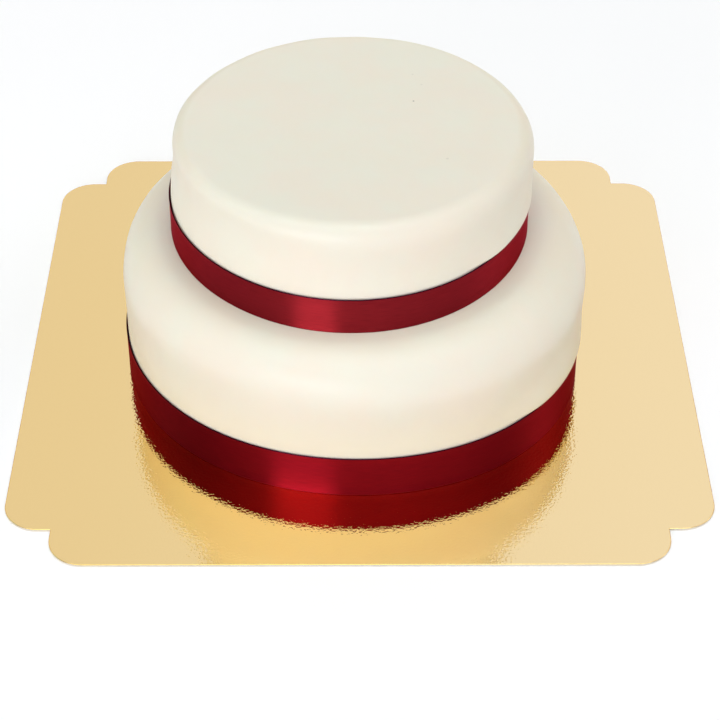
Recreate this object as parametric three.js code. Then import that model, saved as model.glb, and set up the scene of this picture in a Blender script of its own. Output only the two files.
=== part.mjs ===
// A two-tier cake under smooth rolled icing, a satin ribbon round the foot of each tier,
// on the thin gold card board that it was put together on. Millimetres, +Z up.
// The front is -Y, the right side +X, and the origin is under the middle of the board.

import * as THREE from 'three';

// Pieces that touch stay this far apart
const GAP = 0.3;

// Board: thin card, a square step cut from each corner, the outer corners rounded
const BOARD_WIDTH = 368.5;
const BOARD_DEPTH = 361.5;
const BOARD_THICKNESS = 1.5;
const BOARD_STEP = 25.5;
const BOARD_CORNER_RADIUS = 19;
const BOARD_CORNER_STEPS = 8;

// Ribbons: the cut end laps over the start at the back of the cake
const RIBBON_THICKNESS = 0.5;
const RIBBON_LAP = 22;
const RIBBON_LAP_RAMP = 8;
const RIBBON_LAP_ANGLE = THREE.MathUtils.degToRad(82);
const RIBBON_SEGMENTS = 180;

// Each tier was covered by hand, so its plan is a little off round and its middle wanders.
// Plans have three low bulges (trefoil) and four (square), each turned by so many degrees.
// The ribbon plan is the ribbon's outer face. The belly is the widest part of the side.
const LOWER_TIER = {
  name: 'lower',
  height: 85.4,
  ribbonHeight: 25,
  ribbon: { x: -2.6, y: -5.4, radius: 126.2, trefoil: 1.95, trefoilTurn: 43, square: 0.75, squareTurn: 62 },
  belly: { x: -1.7, y: -4.8, radius: 126.5, trefoil: 1, trefoilTurn: 44 },
  crown: { x: -4, y: -4.2, radius: 127.6 },
  shoulderInset: 24.4,
  shoulderDrop: 28,
};
const UPPER_TIER = {
  name: 'upper',
  height: 62.4,
  ribbonHeight: 20.8,
  ribbon: { x: -5, y: -4.2, radius: 96.6, trefoil: 1, trefoilTurn: 7 },
  belly: { x: -2.7, y: -4.2, radius: 95.2, trefoil: 1, trefoilTurn: 7 },
  crown: { x: -4, y: -5, radius: 96.4 },
  shoulderInset: 10,
  shoulderDrop: 14,
};

// The ribbon stands off the icing at the left, where it wasn't pulled tight
const RIBBON_SLACK = 0.3;
const SLACK_SHARPNESS = 6;

// At the right the icing's foot hangs over the ribbon as a soft lip
const LIP_OUT = 2;
const LIP_RISE = 1.2;
const LIP_FADE = 24;
const LIP_ANGLE = THREE.MathUtils.degToRad(5);
const LIP_REACH = [0.52, 0.75];

// How finely a tier is faceted: round it, up its side, round its shoulder and across its top
const TIER_SEGMENTS = 96;
const SIDE_STEPS = 6;
const SHOULDER_STEPS = 9;
const TOP_RINGS = [0.9, 0.5];
const BOTTOM_RING = 0.9;

const IVORY_ICING = { color: 0xece8da, roughness: 0.55, metalness: 0 };
const BURGUNDY_SATIN = { color: 0x7a0f1e, roughness: 0.35, metalness: 0 };
const GOLD_FOIL = { color: 0xe3bf74, roughness: 0.2, metalness: 1 };

function namedMesh(name, geometry, look) {
  const mesh = new THREE.Mesh(geometry, new THREE.MeshStandardMaterial(look));
  mesh.name = name;
  return mesh;
}

// Radius of an uneven plan in one direction
function planRadius(plan, angle) {
  const { radius, trefoil = 0, trefoilTurn = 0, square = 0, squareTurn = 0 } = plan;
  const three = 3 * (angle - THREE.MathUtils.degToRad(trefoilTurn));
  const four = 4 * (angle - THREE.MathUtils.degToRad(squareTurn));
  return radius + trefoil * Math.sin(three) + square * Math.cos(four);
}

// Icing's radius behind the ribbon, measured from the ribbon's own middle
function footRadius(plan, angle) {
  const slack = RIBBON_SLACK * Math.max(0, -Math.cos(angle)) ** SLACK_SHARPNESS;
  return planRadius(plan, angle) - RIBBON_THICKNESS - GAP - slack;
}

// How far the icing stands out over the ribbon, this far above the ribbon's top edge
function lip(up, angle) {
  const edge = GAP + LIP_RISE;
  const reach = THREE.MathUtils.smoothstep(Math.cos(angle - LIP_ANGLE), ...LIP_REACH);
  const rise = THREE.MathUtils.smoothstep(up, GAP, edge);
  return LIP_OUT * reach * rise * (1 - THREE.MathUtils.smoothstep(up, edge, LIP_FADE));
}

// Profile of a tier from the middle of its underside to the middle of its top. Each point
// is how far out it lies, as a share of the plan, and its height above the tier's foot.
function tierProfile(tier) {
  const { height, ribbonHeight, shoulderInset, shoulderDrop } = tier;
  const shoulderFoot = height - shoulderDrop;
  const topShare = 1 - shoulderInset / tier.belly.radius;
  const lipEdge = ribbonHeight + GAP + LIP_RISE;
  const points = [[0, 0], [BOTTOM_RING, 0], [1, 0], [1, ribbonHeight + GAP]];
  for (let step = 0; step <= SIDE_STEPS; step += 1) {
    points.push([1, THREE.MathUtils.lerp(lipEdge, shoulderFoot, step / SIDE_STEPS)]);
  }
  for (let step = 1; step <= SHOULDER_STEPS; step += 1) {
    const turn = (Math.PI / 2) * (step / SHOULDER_STEPS);
    const share = THREE.MathUtils.lerp(topShare, 1, Math.cos(turn));
    points.push([share, shoulderFoot + shoulderDrop * Math.sin(turn)]);
  }
  for (const ring of TOP_RINGS) {
    points.push([topShare * ring, height]);
  }
  points.push([0, height]);
  return points;
}

// A tier: the profile turned about the axis, then each ring moved onto the uneven plan.
// The side swells from the ribbon's plan to the belly's, then draws in to the crown.
function tierGeometry(tier, foot) {
  const profile = tierProfile(tier).map(([out, up]) => new THREE.Vector2(out, up));
  const geometry = new THREE.LatheGeometry(profile, TIER_SEGMENTS);
  geometry.rotateX(Math.PI / 2);
  const position = geometry.attributes.position;
  const { ribbon, belly, crown, ribbonHeight, height, shoulderDrop } = tier;
  const shoulderFoot = height - shoulderDrop;
  for (let i = 0; i < position.count; i += 1) {
    const share = Math.hypot(position.getX(i), position.getY(i));
    const angle = Math.atan2(position.getY(i), position.getX(i));
    const up = position.getZ(i);
    const swell = THREE.MathUtils.smoothstep(up, ribbonHeight, shoulderFoot);
    const rise = THREE.MathUtils.smoothstep(up, shoulderFoot, height);
    const middleX = THREE.MathUtils.lerp(ribbon.x, THREE.MathUtils.lerp(belly.x, crown.x, rise), swell);
    const middleY = THREE.MathUtils.lerp(ribbon.y, THREE.MathUtils.lerp(belly.y, crown.y, rise), swell);
    const above = THREE.MathUtils.lerp(planRadius(belly, angle), planRadius(crown, angle), rise);
    const radius = THREE.MathUtils.lerp(footRadius(ribbon, angle), above, swell) + lip(up - ribbonHeight, angle);
    position.setXYZ(
      i,
      middleX + share * radius * Math.cos(angle),
      middleY + share * radius * Math.sin(angle),
      foot + up,
    );
  }
  return geometry;
}

// Extra thickness where the ribbon laps over itself: a cut end, then a ramp off the start
function lapThickness(angle, radius) {
  const along = (angle - RIBBON_LAP_ANGLE) * radius;
  if (along < 0 || along > RIBBON_LAP) {
    return 0;
  }
  return RIBBON_THICKNESS * Math.min(1, (RIBBON_LAP - along) / RIBBON_LAP_RAMP);
}

function ribbonGeometry(tier, foot) {
  const plan = tier.ribbon;
  const outer = [];
  const inner = [];
  for (let step = 0; step < RIBBON_SEGMENTS; step += 1) {
    const angle = (2 * Math.PI * step) / RIBBON_SEGMENTS;
    const radius = planRadius(plan, angle);
    const outside = radius + lapThickness(angle, plan.radius);
    const inside = radius - RIBBON_THICKNESS;
    outer.push(new THREE.Vector2(plan.x + outside * Math.cos(angle), plan.y + outside * Math.sin(angle)));
    inner.push(new THREE.Vector2(plan.x + inside * Math.cos(angle), plan.y + inside * Math.sin(angle)));
  }
  const band = new THREE.Shape(outer);
  band.holes.push(new THREE.Path(inner.reverse()));
  const geometry = new THREE.ExtrudeGeometry(band, { depth: tier.ribbonHeight, bevelEnabled: false });
  geometry.translate(0, 0, foot);
  return geometry;
}

// Board's outline, anticlockwise from the front right corner. Each corner is a rounded
// corner, a sharp inner corner and a second rounded corner.
function boardOutline() {
  const outline = new THREE.Shape();
  const halfWidth = BOARD_WIDTH / 2;
  const halfDepth = BOARD_DEPTH / 2;
  const radius = BOARD_CORNER_RADIUS;
  const onFrontOrBack = [halfWidth - BOARD_STEP - radius, halfDepth - radius];
  const onSide = [halfWidth - radius, halfDepth - BOARD_STEP - radius];
  const corners = [[1, -1], [1, 1], [-1, 1], [-1, -1]];
  corners.forEach(([right, back], index) => {
    const start = (index - 1) * (Math.PI / 2);
    const end = start + Math.PI / 2;
    const [first, second] = index % 2 === 0 ? [onFrontOrBack, onSide] : [onSide, onFrontOrBack];
    outline.absarc(right * first[0], back * first[1], radius, start, end);
    outline.lineTo(right * (halfWidth - BOARD_STEP), back * (halfDepth - BOARD_STEP));
    outline.absarc(right * second[0], back * second[1], radius, start, end);
  });
  return outline;
}

function boardGeometry() {
  return new THREE.ExtrudeGeometry(boardOutline(), {
    depth: BOARD_THICKNESS,
    bevelEnabled: false,
    curveSegments: BOARD_CORNER_STEPS,
  });
}

const lowerFoot = BOARD_THICKNESS + GAP;
const upperFoot = BOARD_THICKNESS + LOWER_TIER.height + 2 * GAP;

const cake = new THREE.Group();
cake.add(namedMesh('cake_board', boardGeometry(), GOLD_FOIL));
for (const [tier, foot] of [[LOWER_TIER, lowerFoot], [UPPER_TIER, upperFoot]]) {
  cake.add(namedMesh(`${tier.name}_tier`, tierGeometry(tier, foot), IVORY_ICING));
  cake.add(namedMesh(`${tier.name}_ribbon`, ribbonGeometry(tier, foot), BURGUNDY_SATIN));
}

export default cake;
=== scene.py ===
import math

import bpy
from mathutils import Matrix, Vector, noise


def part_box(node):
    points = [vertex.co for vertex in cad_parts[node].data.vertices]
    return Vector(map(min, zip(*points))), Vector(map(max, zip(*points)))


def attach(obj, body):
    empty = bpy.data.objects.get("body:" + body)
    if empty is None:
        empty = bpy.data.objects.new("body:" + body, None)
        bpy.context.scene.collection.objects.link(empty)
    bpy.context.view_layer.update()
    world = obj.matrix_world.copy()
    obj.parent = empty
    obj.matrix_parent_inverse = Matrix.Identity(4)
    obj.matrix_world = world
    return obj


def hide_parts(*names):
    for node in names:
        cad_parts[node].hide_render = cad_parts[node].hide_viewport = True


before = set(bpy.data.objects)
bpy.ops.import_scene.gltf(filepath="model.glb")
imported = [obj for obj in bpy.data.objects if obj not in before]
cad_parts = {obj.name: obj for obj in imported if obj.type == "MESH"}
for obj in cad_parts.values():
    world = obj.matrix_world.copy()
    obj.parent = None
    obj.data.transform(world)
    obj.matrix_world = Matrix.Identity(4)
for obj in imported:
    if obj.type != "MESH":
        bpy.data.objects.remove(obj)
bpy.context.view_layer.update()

MM = 0.001

# Board, in metres: a square step cut from each corner and the outer corners rounded
BOARD_STEP = 25.5 * MM
BOARD_CORNER_RADIUS = 19 * MM
BOARD_ARC_STEPS = 20
FOIL_EDGE_RADIUS = 0.35 * MM
FOIL_EDGE_STEPS = 4

# Tiers: the plan of the ribbon's outer face, of the icing's widest part, and of its crown.
# Plans have three low bulges (trefoil) and four (square), each turned by so many degrees.
# One key gives how much warm tone shows low on the side, painted bounce light from the gold board,
# and satin is the ribbon's colour.
LOWER_BULGES = {"trefoil": 1.95 * MM, "trefoil_turn": 43, "square": 0.75 * MM, "square_turn": 62}
LOWER_BELLY_BULGES = {"trefoil": 1.0 * MM, "trefoil_turn": 44}
UPPER_BULGES = {"trefoil": 1.0 * MM, "trefoil_turn": 7}
TIERS = {
    "lower": {
        "ribbon": {"x": -2.6 * MM, "y": -5.4 * MM, "radius": 126.2 * MM, **LOWER_BULGES},
        "belly": {"x": -1.7 * MM, "y": -4.8 * MM, "radius": 126.5 * MM, **LOWER_BELLY_BULGES},
        "crown": {"x": -4.0 * MM, "y": -4.2 * MM, "radius": 127.6 * MM},
        "shoulder_inset": 24.4 * MM,
        "shoulder_drop": 28.0 * MM,
        "seed": 3.0,
        "painted_bounce": 0.6,
        "satin": (0.210, 0.0035, 0.0075),
    },
    "upper": {
        "ribbon": {"x": -5.0 * MM, "y": -4.2 * MM, "radius": 96.6 * MM, **UPPER_BULGES},
        "belly": {"x": -2.7 * MM, "y": -4.2 * MM, "radius": 95.2 * MM, **UPPER_BULGES},
        "crown": {"x": -4.0 * MM, "y": -5.0 * MM, "radius": 96.4 * MM},
        "shoulder_inset": 10.0 * MM,
        "shoulder_drop": 14.0 * MM,
        "seed": 11.0,
        "painted_bounce": 0.2,
        "satin": (0.262, 0.0135, 0.0165),
    },
}

# How finely the icing is meshed: points round a tier, and rows up its parts
AROUND = 320
LIP_ROWS = 6
SIDE_ROWS = 26
SHOULDER_ROWS = 26
TOP_ROWS = 30

# The last row behind the ribbon, as a share of the ribbon's height
ROW_BEHIND_RIBBON = 0.9

# Icing under the ribbon lies this far inside the ribbon's outer face, more at the left
ICING_INSET = 0.8 * MM
RIBBON_SLACK = 0.3 * MM
SLACK_SHARPNESS = 6

# At the right the icing's foot hangs over the ribbon as a soft lip. Heights are above the
# ribbon's top edge: where it starts, how much further up it is full, and where it has faded.
# Reach is the cosine of the angle from the lip's middle, from none of it to all of it.
LIP_OUT = 2.0 * MM
LIP_START = 0.15 * MM
LIP_RISE = 1.2 * MM
LIP_FADE = 24 * MM
LIP_ANGLE = math.radians(5)
LIP_REACH = (0.52, 0.75)

# Pieces that rest on each other are this far apart
CONTACT = 0.03 * MM

# The top of the lower tier is level where the upper tier stands, out to this radius
SEAT_RADIUS = 99 * MM
SEAT_EDGE = 10 * MM

# Hand smoothing: a slow swell and a finer one, as size across and height. It starts at the
# ribbon's top edge and is at its full height this far above it.
SLOW_RELIEF = (46 * MM, 0.5 * MM)
FINE_RELIEF = (15 * MM, 0.25 * MM)
RELIEF_START = 12 * MM

# Small pits in the icing's top, drawn only as painted shade: place across and back, radius, and how
# dark. Only the upper tier's show, because it stands on the lower tier's. The core is the share of
# the radius that is as dark as the painted shade in the pit gets.
PITS = (
    (28.9 * MM, 16.6 * MM, 0.75 * MM, 0.85),
    (29.0 * MM, 43.7 * MM, 0.9 * MM, 0.12),
    (33.6 * MM, 33.5 * MM, 0.9 * MM, 0.12),
    (45.0 * MM, -37.5 * MM, 1.1 * MM, 0.14),
)
PIT_CORE = 0.3

# Ribbon: a flat strip with a raised selvedge, whose end laps over its start at the back.
# Its waves are given as length and height.
RIBBON_THICKNESS = 0.36 * MM
SELVEDGE_WIDTH = 0.9 * MM
SELVEDGE_RISE = 0.08 * MM
RIBBON_EDGE_ROUND = 0.12 * MM
RIBBON_ROWS = (0.25, 0.5, 0.75)
RIBBON_LAP = 14 * MM
LAP_RAMP = 8 * MM
LAP_CLEARANCE = 0.02 * MM
LAP_CUT_ANGLE = math.radians(82)
RIBBON_STEP = 1.6 * MM
RIBBON_WAVE = (34 * MM, 0.05 * MM)

# Icing: how large its patches of tone and of polish are, and its grain and dimples as size
# across and height
ICING_PATCH = 40 * MM
ICING_POLISH_PATCH = 12 * MM
ICING_ROUGHNESS = (0.40, 0.48)
ICING_GRAIN = (1.1 * MM, 0.03 * MM)
ICING_DIMPLES = (7 * MM, 0.09 * MM)

# Icing's colours: two that lie in soft patches, a warmer one painted low on the side as bounce light
# from the gold board, and the painted shade in the pits
ICING_PINKER = (0.825, 0.757, 0.612)
ICING_GREENER = (0.805, 0.775, 0.630)
ICING_PAINTED_BOUNCE = (0.90, 0.85, 0.66)
PIT_PAINTED_SHADE = (0.10, 0.08, 0.06)

# Satin: threads as lumps to the metre along and up the ribbon, how much they change its
# colour, the tint of its gloss, and the painted shade of the gap along its top edge
THREADS = (120, 3500, 1)
THREAD_CONTRAST = 0.12
THREAD_HEIGHT = 0.01 * MM
SATIN_GLOSS = (1.0, 0.15, 0.4)
TOP_EDGE_SHADE_HEIGHT = 0.7 * MM
TOP_EDGE_PAINTED_SHADE = (0.035, 0.003, 0.014)

# Gold foil is painted from a deep tone at the left to a pale one at the right, over this reach, as
# painted light: its reflections show brighter at the right.
# Its dimples are given as size across and height.
FOIL_DEEP = (0.93, 0.662, 0.25)
FOIL_PALE_PAINTED_LIGHT = (0.955, 0.706, 0.32)
FOIL_PAINTED_LIGHT_DRIFT = (-150 * MM, 210 * MM)
FOIL_PATCH = 60 * MM
FOIL_DIMPLES = (1.5 * MM, 0.07 * MM)

# Cut edge of the card under the foil, with its fibre as size across and height
CARD_DARK = (0.62, 0.56, 0.44)
CARD_LIGHT = (0.76, 0.70, 0.58)
CARD_FIBRE = (0.6 * MM, 0.05 * MM)

# Floor
FLOOR_HALF = 4.0
FLOOR_PATCH = 0.5
FLOOR_DARK = (0.98, 0.965, 0.945)
FLOOR_LIGHT = (0.99, 0.98, 0.96)

# Camera, fitted to the board's edges and the ribbons' edges in the photograph
CAMERA_PLACE = (-1.98 * MM, -908.9 * MM, 735.97 * MM)
CAMERA_PITCH = math.radians(39.54)
CAMERA_YAW = math.radians(0.154)
PHOTO_WIDTH_PX = 720
FOCAL_PX = 2047.05
SENSOR_WIDTH = 36
FARTHEST_SEEN = 50

# Soft surroundings: low, middle and high in front, at the sides, behind, and above the
# front and the back. The foil shows the pale panel that stands behind the cake.
SKY = {
    "front_low": (0.06, 0.06, 0.06),
    "front_mid": (0.06, 0.06, 0.14),
    "front_high": (1.14, 1.0, 1.27),
    "left": (0.45, 0.66, 0.62),
    "right": (1.25, 1.25, 1.25),
    "back": (0.58, 0.38, 0.18),
    "above_front": (3.3, 3.8, 3.6),
    "above_back": (0.08, 0.08, 0.08),
    "panel_left": (0.86, 0.885, 1.085),
    "panel_right": (0.94, 1.005, 1.28),
}

# Where one part of the surroundings turns into the next, along a direction's own parts:
# across to the right, back, or up
LOW_TO_MID = (0.10, 0.35)
MID_TO_HIGH = (0.40, 0.70)
LEFT_TO_RIGHT = (-0.4, 0.4)
FRONT_TO_SIDES = (-0.35, 0.1)
SIDES_TO_BACK = (0.1, 0.5)
ABOVE_FRONT_TO_BACK = (-0.2, 0.15)
AROUND_TO_ABOVE = (0.78, 0.93)
PANEL_LEFT_TO_RIGHT = (-0.3, 0.3)
PANEL_STARTS_BACK = (0.3, 0.45)
PANEL_ACROSS = (-0.34, 0.34)
PANEL_UP = (0.36, 0.84)
PANEL_SOFTNESS = 0.1
NOTHING = (0, 0, 0)

# Two low windows in front of the cake that face it: a bright one at the left and a faint one
# at the right. Azimuth turns from the front towards the right.
WINDOWS = (
    {"name": "window", "azimuth": -21.5, "width": 0.84, "power": 13.6},
    {"name": "window_wide", "azimuth": 8, "width": 0.95, "power": 1.0},
)
WINDOW_TINT = (1.0, 0.95, 1.02)
WINDOW_HEIGHT = 0.44
WINDOW_DISTANCE = 2.0
WINDOW_ELEVATION = math.radians(4.5)
WINDOW_AIM = (0, 0, 80 * MM)


def smooth_step(value, low, high):
    t = min(1, max(0, (value - low) / (high - low)))
    return t * t * (3 - 2 * t)


def mix(a, b, share):
    return a + (b - a) * share


def mesh_object(name, points, faces, smooth=True):
    mesh = bpy.data.meshes.new(name)
    mesh.from_pydata(points, [], faces)
    mesh.validate()
    for face in mesh.polygons:
        face.use_smooth = smooth
    piece = bpy.data.objects.new(name, mesh)
    bpy.context.scene.collection.objects.link(piece)
    return piece


def band_faces(rings, count):
    """Four-sided faces between rings of points that follow each other in the list."""
    faces = []
    for ring in range(rings - 1):
        near, far = ring * count, (ring + 1) * count
        for i in range(count):
            j = (i + 1) % count
            faces.append((near + i, near + j, far + j, far + i))
    return faces


def plan_radius(plan, angle):
    """Radius of an uneven plan in one direction."""
    three = 3 * (angle - math.radians(plan.get("trefoil_turn", 0)))
    four = 4 * (angle - math.radians(plan.get("square_turn", 0)))
    bulges = plan.get("trefoil", 0) * math.sin(three) + plan.get("square", 0) * math.cos(four)
    return plan["radius"] + bulges


def foot_radius(plan, angle):
    """Icing's radius behind the ribbon, from the ribbon's own middle."""
    slack = RIBBON_SLACK * max(0, -math.cos(angle)) ** SLACK_SHARPNESS
    return plan_radius(plan, angle) - ICING_INSET - slack


def lip(up, angle):
    """How far the icing stands out over the ribbon, this far above the ribbon's top edge."""
    reach = smooth_step(math.cos(angle - LIP_ANGLE), *LIP_REACH)
    edge = LIP_START + LIP_RISE
    rise = smooth_step(up, LIP_START, edge)
    return LIP_OUT * reach * rise * (1 - smooth_step(up, edge, LIP_FADE))


def relief(place, seed):
    """Height of the hand-smoothed unevenness at a place on the icing."""
    total = 0
    for size, height in (SLOW_RELIEF, FINE_RELIEF):
        total += height * noise.noise(place / size + Vector((seed, seed, seed)))
    return total


def tier_rows(tier, foot, ribbon_top, top):
    """Rows up the tier, as share of the plan's radius and height."""
    shoulder_foot = top - tier["shoulder_drop"]
    top_share = 1 - tier["shoulder_inset"] / tier["belly"]["radius"]
    rows = [(1, foot), (1, mix(foot, ribbon_top, ROW_BEHIND_RIBBON))]
    edge = ribbon_top + LIP_START + LIP_RISE
    for step in range(LIP_ROWS):
        rows.append((1, mix(ribbon_top + LIP_START, edge, step / LIP_ROWS)))
    for step in range(SIDE_ROWS):
        rows.append((1, mix(edge, shoulder_foot, step / SIDE_ROWS)))
    for step in range(SHOULDER_ROWS + 1):
        turn = math.pi / 2 * step / SHOULDER_ROWS
        share = mix(top_share, 1, math.cos(turn))
        rows.append((share, shoulder_foot + tier["shoulder_drop"] * math.sin(turn)))
    for step in range(1, TOP_ROWS):
        rows.append((top_share * (1 - step / TOP_ROWS), top))
    return rows


def icing_tier(name, tier, node, ribbon_node, foot):
    """The iced tier: the CAD tier's form, with the soft unevenness of a hand-smoothed cover."""
    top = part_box(node)[1].z
    ribbon_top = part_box(ribbon_node)[1].z
    shoulder_foot = top - tier["shoulder_drop"]
    ribbon, belly, crown = tier["ribbon"], tier["belly"], tier["crown"]

    def place(share, z, angle):
        swell = smooth_step(z, ribbon_top, shoulder_foot)
        rise = smooth_step(z, shoulder_foot, top)
        middle_x = mix(ribbon["x"], mix(belly["x"], crown["x"], rise), swell)
        middle_y = mix(ribbon["y"], mix(belly["y"], crown["y"], rise), swell)
        above = mix(plan_radius(belly, angle), plan_radius(crown, angle), rise)
        radius = share * (mix(foot_radius(ribbon, angle), above, swell) + lip(z - ribbon_top, angle))
        x, y = middle_x + radius * math.cos(angle), middle_y + radius * math.sin(angle)
        bare = Vector((x, y, z))
        lift = relief(bare, tier["seed"]) * smooth_step(z, ribbon_top, ribbon_top + RELIEF_START)
        if node == "lower_tier":
            lift *= smooth_step(bare.xy.length, SEAT_RADIUS, SEAT_RADIUS + SEAT_EDGE)
        out = Vector((math.cos(angle) * (1 - rise), math.sin(angle) * (1 - rise), rise))
        return bare + out.normalized() * lift

    rows = tier_rows(tier, foot, ribbon_top, top)
    angles = [2 * math.pi * i / AROUND for i in range(AROUND)]
    points = [place(share, z, angle) for share, z in rows for angle in angles]
    faces = band_faces(len(rows), AROUND)
    middle = len(points)
    points.append(place(0, top, 0))
    last = (len(rows) - 1) * AROUND
    faces.extend((last + i, last + (i + 1) % AROUND, middle) for i in range(AROUND))
    faces.append(tuple(reversed(range(AROUND))))
    return mesh_object(name, points, faces)


def ribbon_section(height):
    """Outline of the ribbon's cross-section, as distance out from the icing and height up."""
    body = RIBBON_THICKNESS
    edge = [
        (body * 0.45, 0),
        (body + SELVEDGE_RISE - RIBBON_EDGE_ROUND, RIBBON_EDGE_ROUND * 0.3),
        (body + SELVEDGE_RISE, RIBBON_EDGE_ROUND),
        (body + SELVEDGE_RISE, SELVEDGE_WIDTH * 0.7),
        (body, SELVEDGE_WIDTH),
    ]
    outside = edge + [(body, height * share) for share in RIBBON_ROWS]
    outside += [(out, height - up) for out, up in reversed(edge)]
    return outside + [(0, height - RIBBON_EDGE_ROUND), (0, RIBBON_EDGE_ROUND)]


def satin_ribbon(name, tier, node, foot):
    """A strip of ribbon wound once round the tier, its cut end lapped over its start."""
    plan = tier["ribbon"]
    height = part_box(node)[1].z - foot
    section = ribbon_section(height)
    whole_turn = 2 * math.pi * plan["radius"]
    length = whole_turn + RIBBON_LAP
    steps = round(length / RIBBON_STEP)
    start = LAP_CUT_ANGLE + RIBBON_LAP / plan["radius"]
    wave_size, wave_height = RIBBON_WAVE
    points, along_up = [], []
    for step in range(steps + 1):
        along = length * step / steps
        angle = start - along / plan["radius"]
        over_start = smooth_step(along, whole_turn - LAP_RAMP, whole_turn)
        lift = (RIBBON_THICKNESS + LAP_CLEARANCE) * over_start
        direction = Vector((math.cos(angle), math.sin(angle), 0))
        wave = wave_height * noise.noise(Vector((along / wave_size, tier["seed"], 0)))
        inside = plan_radius(plan, angle) - RIBBON_THICKNESS + lift + wave
        for out, up in section:
            points.append(Vector((plan["x"], plan["y"], foot + up)) + direction * (inside + out))
            along_up.append((along, up))
    count = len(section)
    faces = band_faces(steps + 1, count)
    faces.append(tuple(reversed(range(count))))
    faces.append(tuple(steps * count + i for i in range(count)))
    piece = mesh_object(name, points, faces)
    layer = piece.data.uv_layers.new(name="ribbon")
    for loop in piece.data.loops:
        layer.data[loop.index].uv = along_up[loop.vertex_index]
    return piece


def board_outline(half_width, half_depth):
    """Points round the board with the direction that faces away from it, anticlockwise."""
    radius = BOARD_CORNER_RADIUS
    on_front_or_back = (half_width - BOARD_STEP - radius, half_depth - radius)
    on_side = (half_width - radius, half_depth - BOARD_STEP - radius)
    inner = (half_width - BOARD_STEP, half_depth - BOARD_STEP)
    outline = []
    for index, (right, back) in enumerate(((1, -1), (1, 1), (-1, 1), (-1, -1))):
        centres = [on_front_or_back, on_side]
        if index % 2 == 1:
            centres.reverse()
        for centre in centres:
            middle = Vector((right * centre[0], back * centre[1]))
            for step in range(BOARD_ARC_STEPS + 1):
                angle = (index - 1 + step / BOARD_ARC_STEPS) * math.pi / 2
                away = Vector((math.cos(angle), math.sin(angle)))
                outline.append((middle + away * radius, away))
            if centre == centres[0]:
                notch = Vector((right * inner[0], back * inner[1]))
                outline.append((notch, Vector((right, back))))
    return outline


def gold_board(name, node):
    """The card board: its foil turns down over a soft edge, and the cut card shows below it."""
    low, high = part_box(node)
    outline = board_outline(high.x, high.y)
    foil_foot = high.z - FOIL_EDGE_RADIUS
    levels = [(0, low.z)]
    for step in range(FOIL_EDGE_STEPS + 1):
        turn = math.pi / 2 * step / FOIL_EDGE_STEPS
        inset = FOIL_EDGE_RADIUS * (1 - math.cos(turn))
        levels.append((inset, foil_foot + FOIL_EDGE_RADIUS * math.sin(turn)))
    points = [(*(place - away * inset), z) for inset, z in levels for place, away in outline]
    count = len(outline)
    faces = band_faces(len(levels), count)
    faces.append(tuple(reversed(range(count))))
    faces.append(tuple((len(levels) - 1) * count + i for i in range(count)))
    piece = mesh_object(name, points, faces, smooth=False)
    piece.data.materials.append(gold_foil())
    piece.data.materials.append(cut_card())
    for face in piece.data.polygons:
        face.material_index = 1 if face.center.z < foil_foot else 0
    return piece


class Shader:
    """A material's nodes, with short calls to add and join them."""

    def __init__(self, name):
        self.material = bpy.data.materials.new(name)
        self.material.use_nodes = True
        self.nodes = self.material.node_tree.nodes
        self.links = self.material.node_tree.links
        self.surface = self.nodes["Principled BSDF"]

    def add(self, kind, settings=None, **inputs):
        node = self.nodes.new(kind)
        for key, value in (settings or {}).items():
            setattr(node, key, value)
        for key, value in inputs.items():
            self.put(node, key, value)
        return node

    def put(self, node, key, value):
        socket = node.inputs[key.replace("_", " ")] if isinstance(key, str) else node.inputs[key]
        if isinstance(value, bpy.types.NodeSocket):
            self.links.new(value, socket)
        else:
            socket.default_value = value

    def set(self, **inputs):
        for key, value in inputs.items():
            self.put(self.surface, key, value)

    def place(self):
        return self.add("ShaderNodeTexCoord").outputs["Object"]

    def noise(self, vector, size, detail=2, roughness=0.5):
        """Soft noise whose lumps are about size across, in metres."""
        node = self.add("ShaderNodeTexNoise", Vector=vector, Scale=1 / size, Detail=detail,
                        Roughness=roughness)
        return node.outputs["Fac"]

    def ramp(self, value, low, high, to_low=0.0, to_high=1.0):
        """A value's soft step from to_low, where it is low, to to_high, where it is high."""
        node = self.add("ShaderNodeMapRange", {"interpolation_type": "SMOOTHSTEP"}, Value=value,
                        From_Min=low, From_Max=high, To_Min=to_low, To_Max=to_high)
        return node.outputs["Result"]

    def math(self, operation, first, second):
        node = self.add("ShaderNodeMath", {"operation": operation})
        self.put(node, 0, first)
        self.put(node, 1, second)
        return node.outputs["Value"]

    def blend(self, share, first, second):
        node = self.add("ShaderNodeMix", {"data_type": "RGBA"})
        self.put(node, 0, share)
        self.put(node, 6, first)
        self.put(node, 7, second)
        return node.outputs[2]

    def bump(self, height, distance, **normal):
        node = self.add("ShaderNodeBump", Height=height, Distance=distance, Strength=1.0, **normal)
        return node.outputs["Normal"]


def colour(tone):
    """Red, green and blue with the fourth value that a colour socket takes."""
    return (*tone, 1.0)


def pit_shade_mask(shader, place, top):
    """Where the painted shade of the small pits lies, from none to fully dark."""
    mask = 0.0
    for across, back, radius, depth in PITS:
        away = shader.add("ShaderNodeVectorMath", {"operation": "DISTANCE"})
        shader.put(away, 0, place)
        shader.put(away, 1, (across, back, top))
        spot = shader.ramp(away.outputs["Value"], radius * PIT_CORE, radius, depth, 0.0)
        mask = shader.math("MAXIMUM", mask, spot)
    return mask


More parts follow.
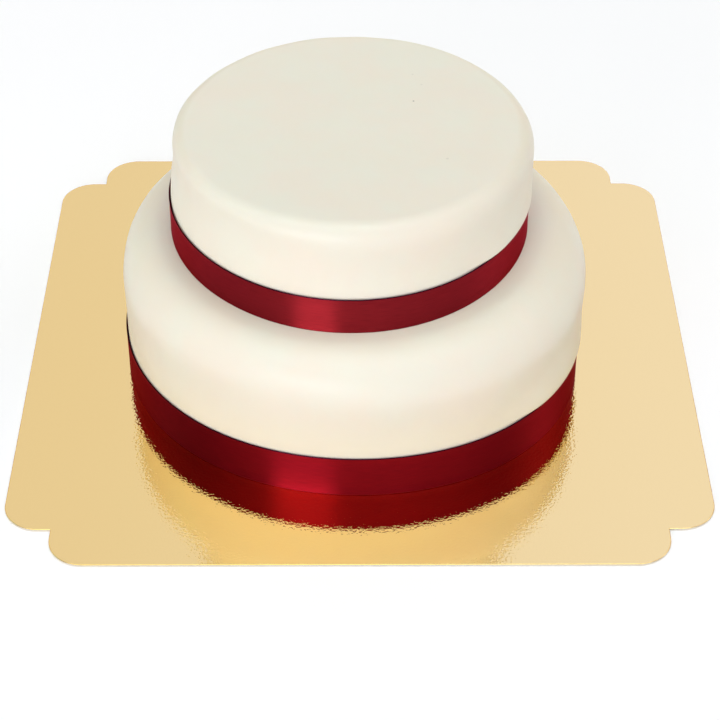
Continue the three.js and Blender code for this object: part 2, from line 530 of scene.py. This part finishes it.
def icing(name, tier, ribbon_top, shoulder_foot, top):
    """Rolled icing: soft patches of tone, painted warm bounce light low on the side, a faint grain,
    and painted shade in small pits.
    """
    shader = Shader(name)
    place = shader.place()
    height = shader.add("ShaderNodeSeparateXYZ", Vector=place).outputs["Z"]
    patches = shader.ramp(shader.noise(place, ICING_PATCH, detail=4, roughness=0.6), 0.35, 0.65)
    plain = shader.blend(patches, colour(ICING_PINKER), colour(ICING_GREENER))
    # Painted bounce light: the side gets warmer towards the ribbon, as if lit by the gold board
    # below
    painted_bounce = shader.ramp(height, ribbon_top, shoulder_foot, tier["painted_bounce"], 0.0)
    cover = shader.blend(painted_bounce, plain, colour(ICING_PAINTED_BOUNCE))
    # Painted shade: the small pits are darkened in the colour, not dented
    pit_shaded = shader.blend(pit_shade_mask(shader, place, top), cover, colour(PIT_PAINTED_SHADE))
    shader.set(Base_Color=pit_shaded)
    polish = shader.noise(place, ICING_POLISH_PATCH)
    shader.set(Roughness=shader.ramp(polish, 0.3, 0.7, *ICING_ROUGHNESS))
    shader.set(IOR=1.45, Subsurface_Weight=0.15, Subsurface_Radius=(1.0, 0.8, 0.5))
    shader.set(Subsurface_Scale=3 * MM)
    (grain_size, grain_height), (dimple_size, dimple_height) = ICING_GRAIN, ICING_DIMPLES
    grain = shader.bump(shader.noise(place, grain_size, detail=3), grain_height)
    dimples = shader.noise(place, dimple_size)
    shader.set(Normal=shader.bump(dimples, dimple_height, Normal=grain))
    return shader.material


def satin(name, base, height):
    """Satin: fine threads along the ribbon, and a gloss that spreads up and down it."""
    shader = Shader(name)
    uv = shader.add("ShaderNodeUVMap", {"uv_map": "ribbon"}).outputs["UV"]
    scaled = shader.add("ShaderNodeMapping", Vector=uv, Scale=THREADS)
    threads = shader.noise(scaled.outputs["Vector"], 1.0)
    dark = colour(part * (1 - THREAD_CONTRAST) for part in base)
    light = colour(part * (1 + THREAD_CONTRAST) for part in base)
    weave = shader.blend(shader.ramp(threads, 0.3, 0.7), dark, light)
    up = shader.add("ShaderNodeSeparateXYZ", Vector=uv).outputs["Y"]
    # Painted shade: a dark line along the ribbon's top edge, where the gap to the icing lies in
    # shade
    edge = shader.ramp(up, height - TOP_EDGE_SHADE_HEIGHT, height - TOP_EDGE_SHADE_HEIGHT / 2)
    shader.set(Base_Color=shader.blend(edge, weave, colour(TOP_EDGE_PAINTED_SHADE)))
    shader.set(Metallic=0.88, Roughness=0.41, Anisotropic=1.0, Anisotropic_Rotation=0.25)
    shader.set(Specular_IOR_Level=1.0, Specular_Tint=colour(SATIN_GLOSS))
    tangent = shader.add("ShaderNodeTangent", {"direction_type": "RADIAL", "axis": "Z"})
    shader.set(Tangent=tangent.outputs["Tangent"])
    shader.set(Normal=shader.bump(threads, THREAD_HEIGHT))
    return shader.material


def gold_foil():
    """Bright foil with a fine dimple, its tone painted paler towards the right as painted light,
    with random patches.
    """
    shader = Shader("gold_foil")
    place = shader.place()
    across = shader.add("ShaderNodeSeparateXYZ", Vector=place).outputs["X"]
    wander = shader.math("MULTIPLY", shader.noise(place, FOIL_PATCH), FOIL_PATCH)
    # Painted light: paler towards the right, where the foil's reflections are brighter, with random
    # patches from the noise
    tone = shader.ramp(shader.math("ADD", across, wander), *FOIL_PAINTED_LIGHT_DRIFT)
    shader.set(Base_Color=shader.blend(tone, colour(FOIL_DEEP), colour(FOIL_PALE_PAINTED_LIGHT)))
    dimple_size, dimple_height = FOIL_DIMPLES
    shader.set(Metallic=1.0, Roughness=0.04)
    shader.set(Normal=shader.bump(shader.noise(place, dimple_size, detail=1), dimple_height))
    return shader.material


def cut_card():
    """The cut edge of the card: pale grey brown with a fine fibre."""
    shader = Shader("cut_card")
    fibre_size, fibre_height = CARD_FIBRE
    fibre = shader.noise(shader.place(), fibre_size, detail=3)
    shader.set(Base_Color=shader.blend(fibre, colour(CARD_DARK), colour(CARD_LIGHT)))
    shader.set(Roughness=0.85, Normal=shader.bump(fibre, fibre_height))
    return shader.material


def finish_piece(piece, node):
    """Hides the CAD solid that the piece stands for and attaches the piece to the root body."""
    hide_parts(node)
    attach(piece, "root")


def build_cake():
    finish_piece(gold_board("gold_board", "cake_board"), "cake_board")
    for (name, tier), rests_on in zip(TIERS.items(), ("cake_board", "lower_tier")):
        node, ribbon_node = f"{name}_tier", f"{name}_ribbon"
        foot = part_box(rests_on)[1].z + CONTACT
        ribbon_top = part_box(ribbon_node)[1].z
        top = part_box(node)[1].z
        shoulder_foot = top - tier["shoulder_drop"]
        cover = icing_tier(f"{name}_icing", tier, node, ribbon_node, foot)
        look = icing(f"{name}_icing", tier, ribbon_top, shoulder_foot, top)
        cover.data.materials.append(look)
        finish_piece(cover, node)
        band = satin_ribbon(f"{name}_satin", tier, ribbon_node, foot)
        look = satin(f"{name}_satin", tier["satin"], ribbon_top - foot)
        band.data.materials.append(look)
        finish_piece(band, ribbon_node)


def build_floor():
    half = FLOOR_HALF
    corners = [(-half, -half, 0), (half, -half, 0), (half, half, 0), (-half, half, 0)]
    floor = mesh_object("floor", corners, [(0, 1, 2, 3)])
    shader = Shader("floor")
    tone = shader.ramp(shader.noise(shader.place(), FLOOR_PATCH), 0.3, 0.7)
    shader.set(Base_Color=shader.blend(tone, colour(FLOOR_DARK), colour(FLOOR_LIGHT)))
    shader.set(Roughness=0.9)
    floor.data.materials.append(shader.material)


def build_window(name, azimuth, width, power):
    """A soft panel that stands low in front of the cake and faces it."""
    light = bpy.data.lights.new(name, "AREA")
    light.shape = "RECTANGLE"
    light.size, light.size_y = width, WINDOW_HEIGHT
    light.energy = power
    light.color = WINDOW_TINT
    panel = bpy.data.objects.new(name, light)
    bpy.context.scene.collection.objects.link(panel)
    turn, up = math.radians(azimuth), WINDOW_ELEVATION
    away = Vector((math.sin(turn) * math.cos(up), -math.cos(turn) * math.cos(up), math.sin(up)))
    panel.location = Vector(WINDOW_AIM) + away * WINDOW_DISTANCE
    panel.rotation_euler = away.to_track_quat("Z", "Y").to_euler()


class Sky:
    """The surroundings' nodes, with short calls to add and join them."""

    def __init__(self, tree):
        self.nodes, self.links = tree.nodes, tree.links

    def directions(self):
        """A direction's parts across to the right, back and up."""
        parts = self.nodes.new("ShaderNodeSeparateXYZ")
        direction = self.nodes.new("ShaderNodeTexCoord").outputs["Generated"]
        self.links.new(direction, parts.inputs["Vector"])
        return [parts.outputs[axis] for axis in "XYZ"]

    def share(self, value, low, high):
        """Soft step from 0 to 1 as a value goes from low to high."""
        node = self.nodes.new("ShaderNodeMapRange")
        node.interpolation_type = "SMOOTHSTEP"
        node.inputs["From Min"].default_value = low
        node.inputs["From Max"].default_value = high
        self.links.new(value, node.inputs["Value"])
        return node.outputs["Result"]

    def blend(self, share, first, second):
        node = self.nodes.new("ShaderNodeMix")
        node.data_type = "RGBA"
        self.links.new(share, node.inputs[0])
        for index, tone in ((6, first), (7, second)):
            if isinstance(tone, tuple):
                node.inputs[index].default_value = colour(tone)
            else:
                self.links.new(tone, node.inputs[index])
        return node.outputs[2]

    def inside(self, value, low, high):
        """One between low and high, falling softly to nothing outside them."""
        rising = self.share(value, low - PANEL_SOFTNESS, low)
        return self.blend(self.share(value, high, high + PANEL_SOFTNESS), rising, NOTHING)

    def tone(self):
        """Bright above the front, and a pale panel behind, which the foil shows."""
        across, back, up = self.directions()
        front = self.blend(self.share(up, *LOW_TO_MID), SKY["front_low"], SKY["front_mid"])
        front = self.blend(self.share(up, *MID_TO_HIGH), front, SKY["front_high"])
        sides = self.blend(self.share(across, *LEFT_TO_RIGHT), SKY["left"], SKY["right"])
        behind = self.blend(self.share(back, *SIDES_TO_BACK), sides, SKY["back"])
        around = self.blend(self.share(back, *FRONT_TO_SIDES), front, behind)
        overhead = self.share(back, *ABOVE_FRONT_TO_BACK)
        above = self.blend(overhead, SKY["above_front"], SKY["above_back"])
        sky = self.blend(self.share(up, *AROUND_TO_ABOVE), around, above)
        turn = self.share(across, *PANEL_LEFT_TO_RIGHT)
        panel = self.blend(turn, SKY["panel_left"], SKY["panel_right"])
        reach = self.blend(self.inside(across, *PANEL_ACROSS), NOTHING, self.inside(up, *PANEL_UP))
        reach = self.blend(self.share(back, *PANEL_STARTS_BACK), NOTHING, reach)
        return self.blend(reach, sky, panel)


def build_light():
    world = bpy.data.worlds.new("studio")
    bpy.context.scene.world = world
    world.use_nodes = True
    background = world.node_tree.nodes["Background"]
    world.node_tree.links.new(Sky(world.node_tree).tone(), background.inputs["Color"])
    for window in WINDOWS:
        build_window(**window)


def build_camera():
    data = bpy.data.cameras.new("camera")
    data.sensor_width = SENSOR_WIDTH
    data.lens = FOCAL_PX / PHOTO_WIDTH_PX * SENSOR_WIDTH
    data.clip_end = FARTHEST_SEEN
    camera = bpy.data.objects.new("camera", data)
    bpy.context.scene.collection.objects.link(camera)
    camera.location = CAMERA_PLACE
    camera.rotation_euler = (math.pi / 2 - CAMERA_PITCH, 0, -CAMERA_YAW)
    bpy.context.scene.camera = camera


build_cake()
build_floor()
build_light()
build_camera()
bpy.context.scene.view_settings.view_transform = "Standard"
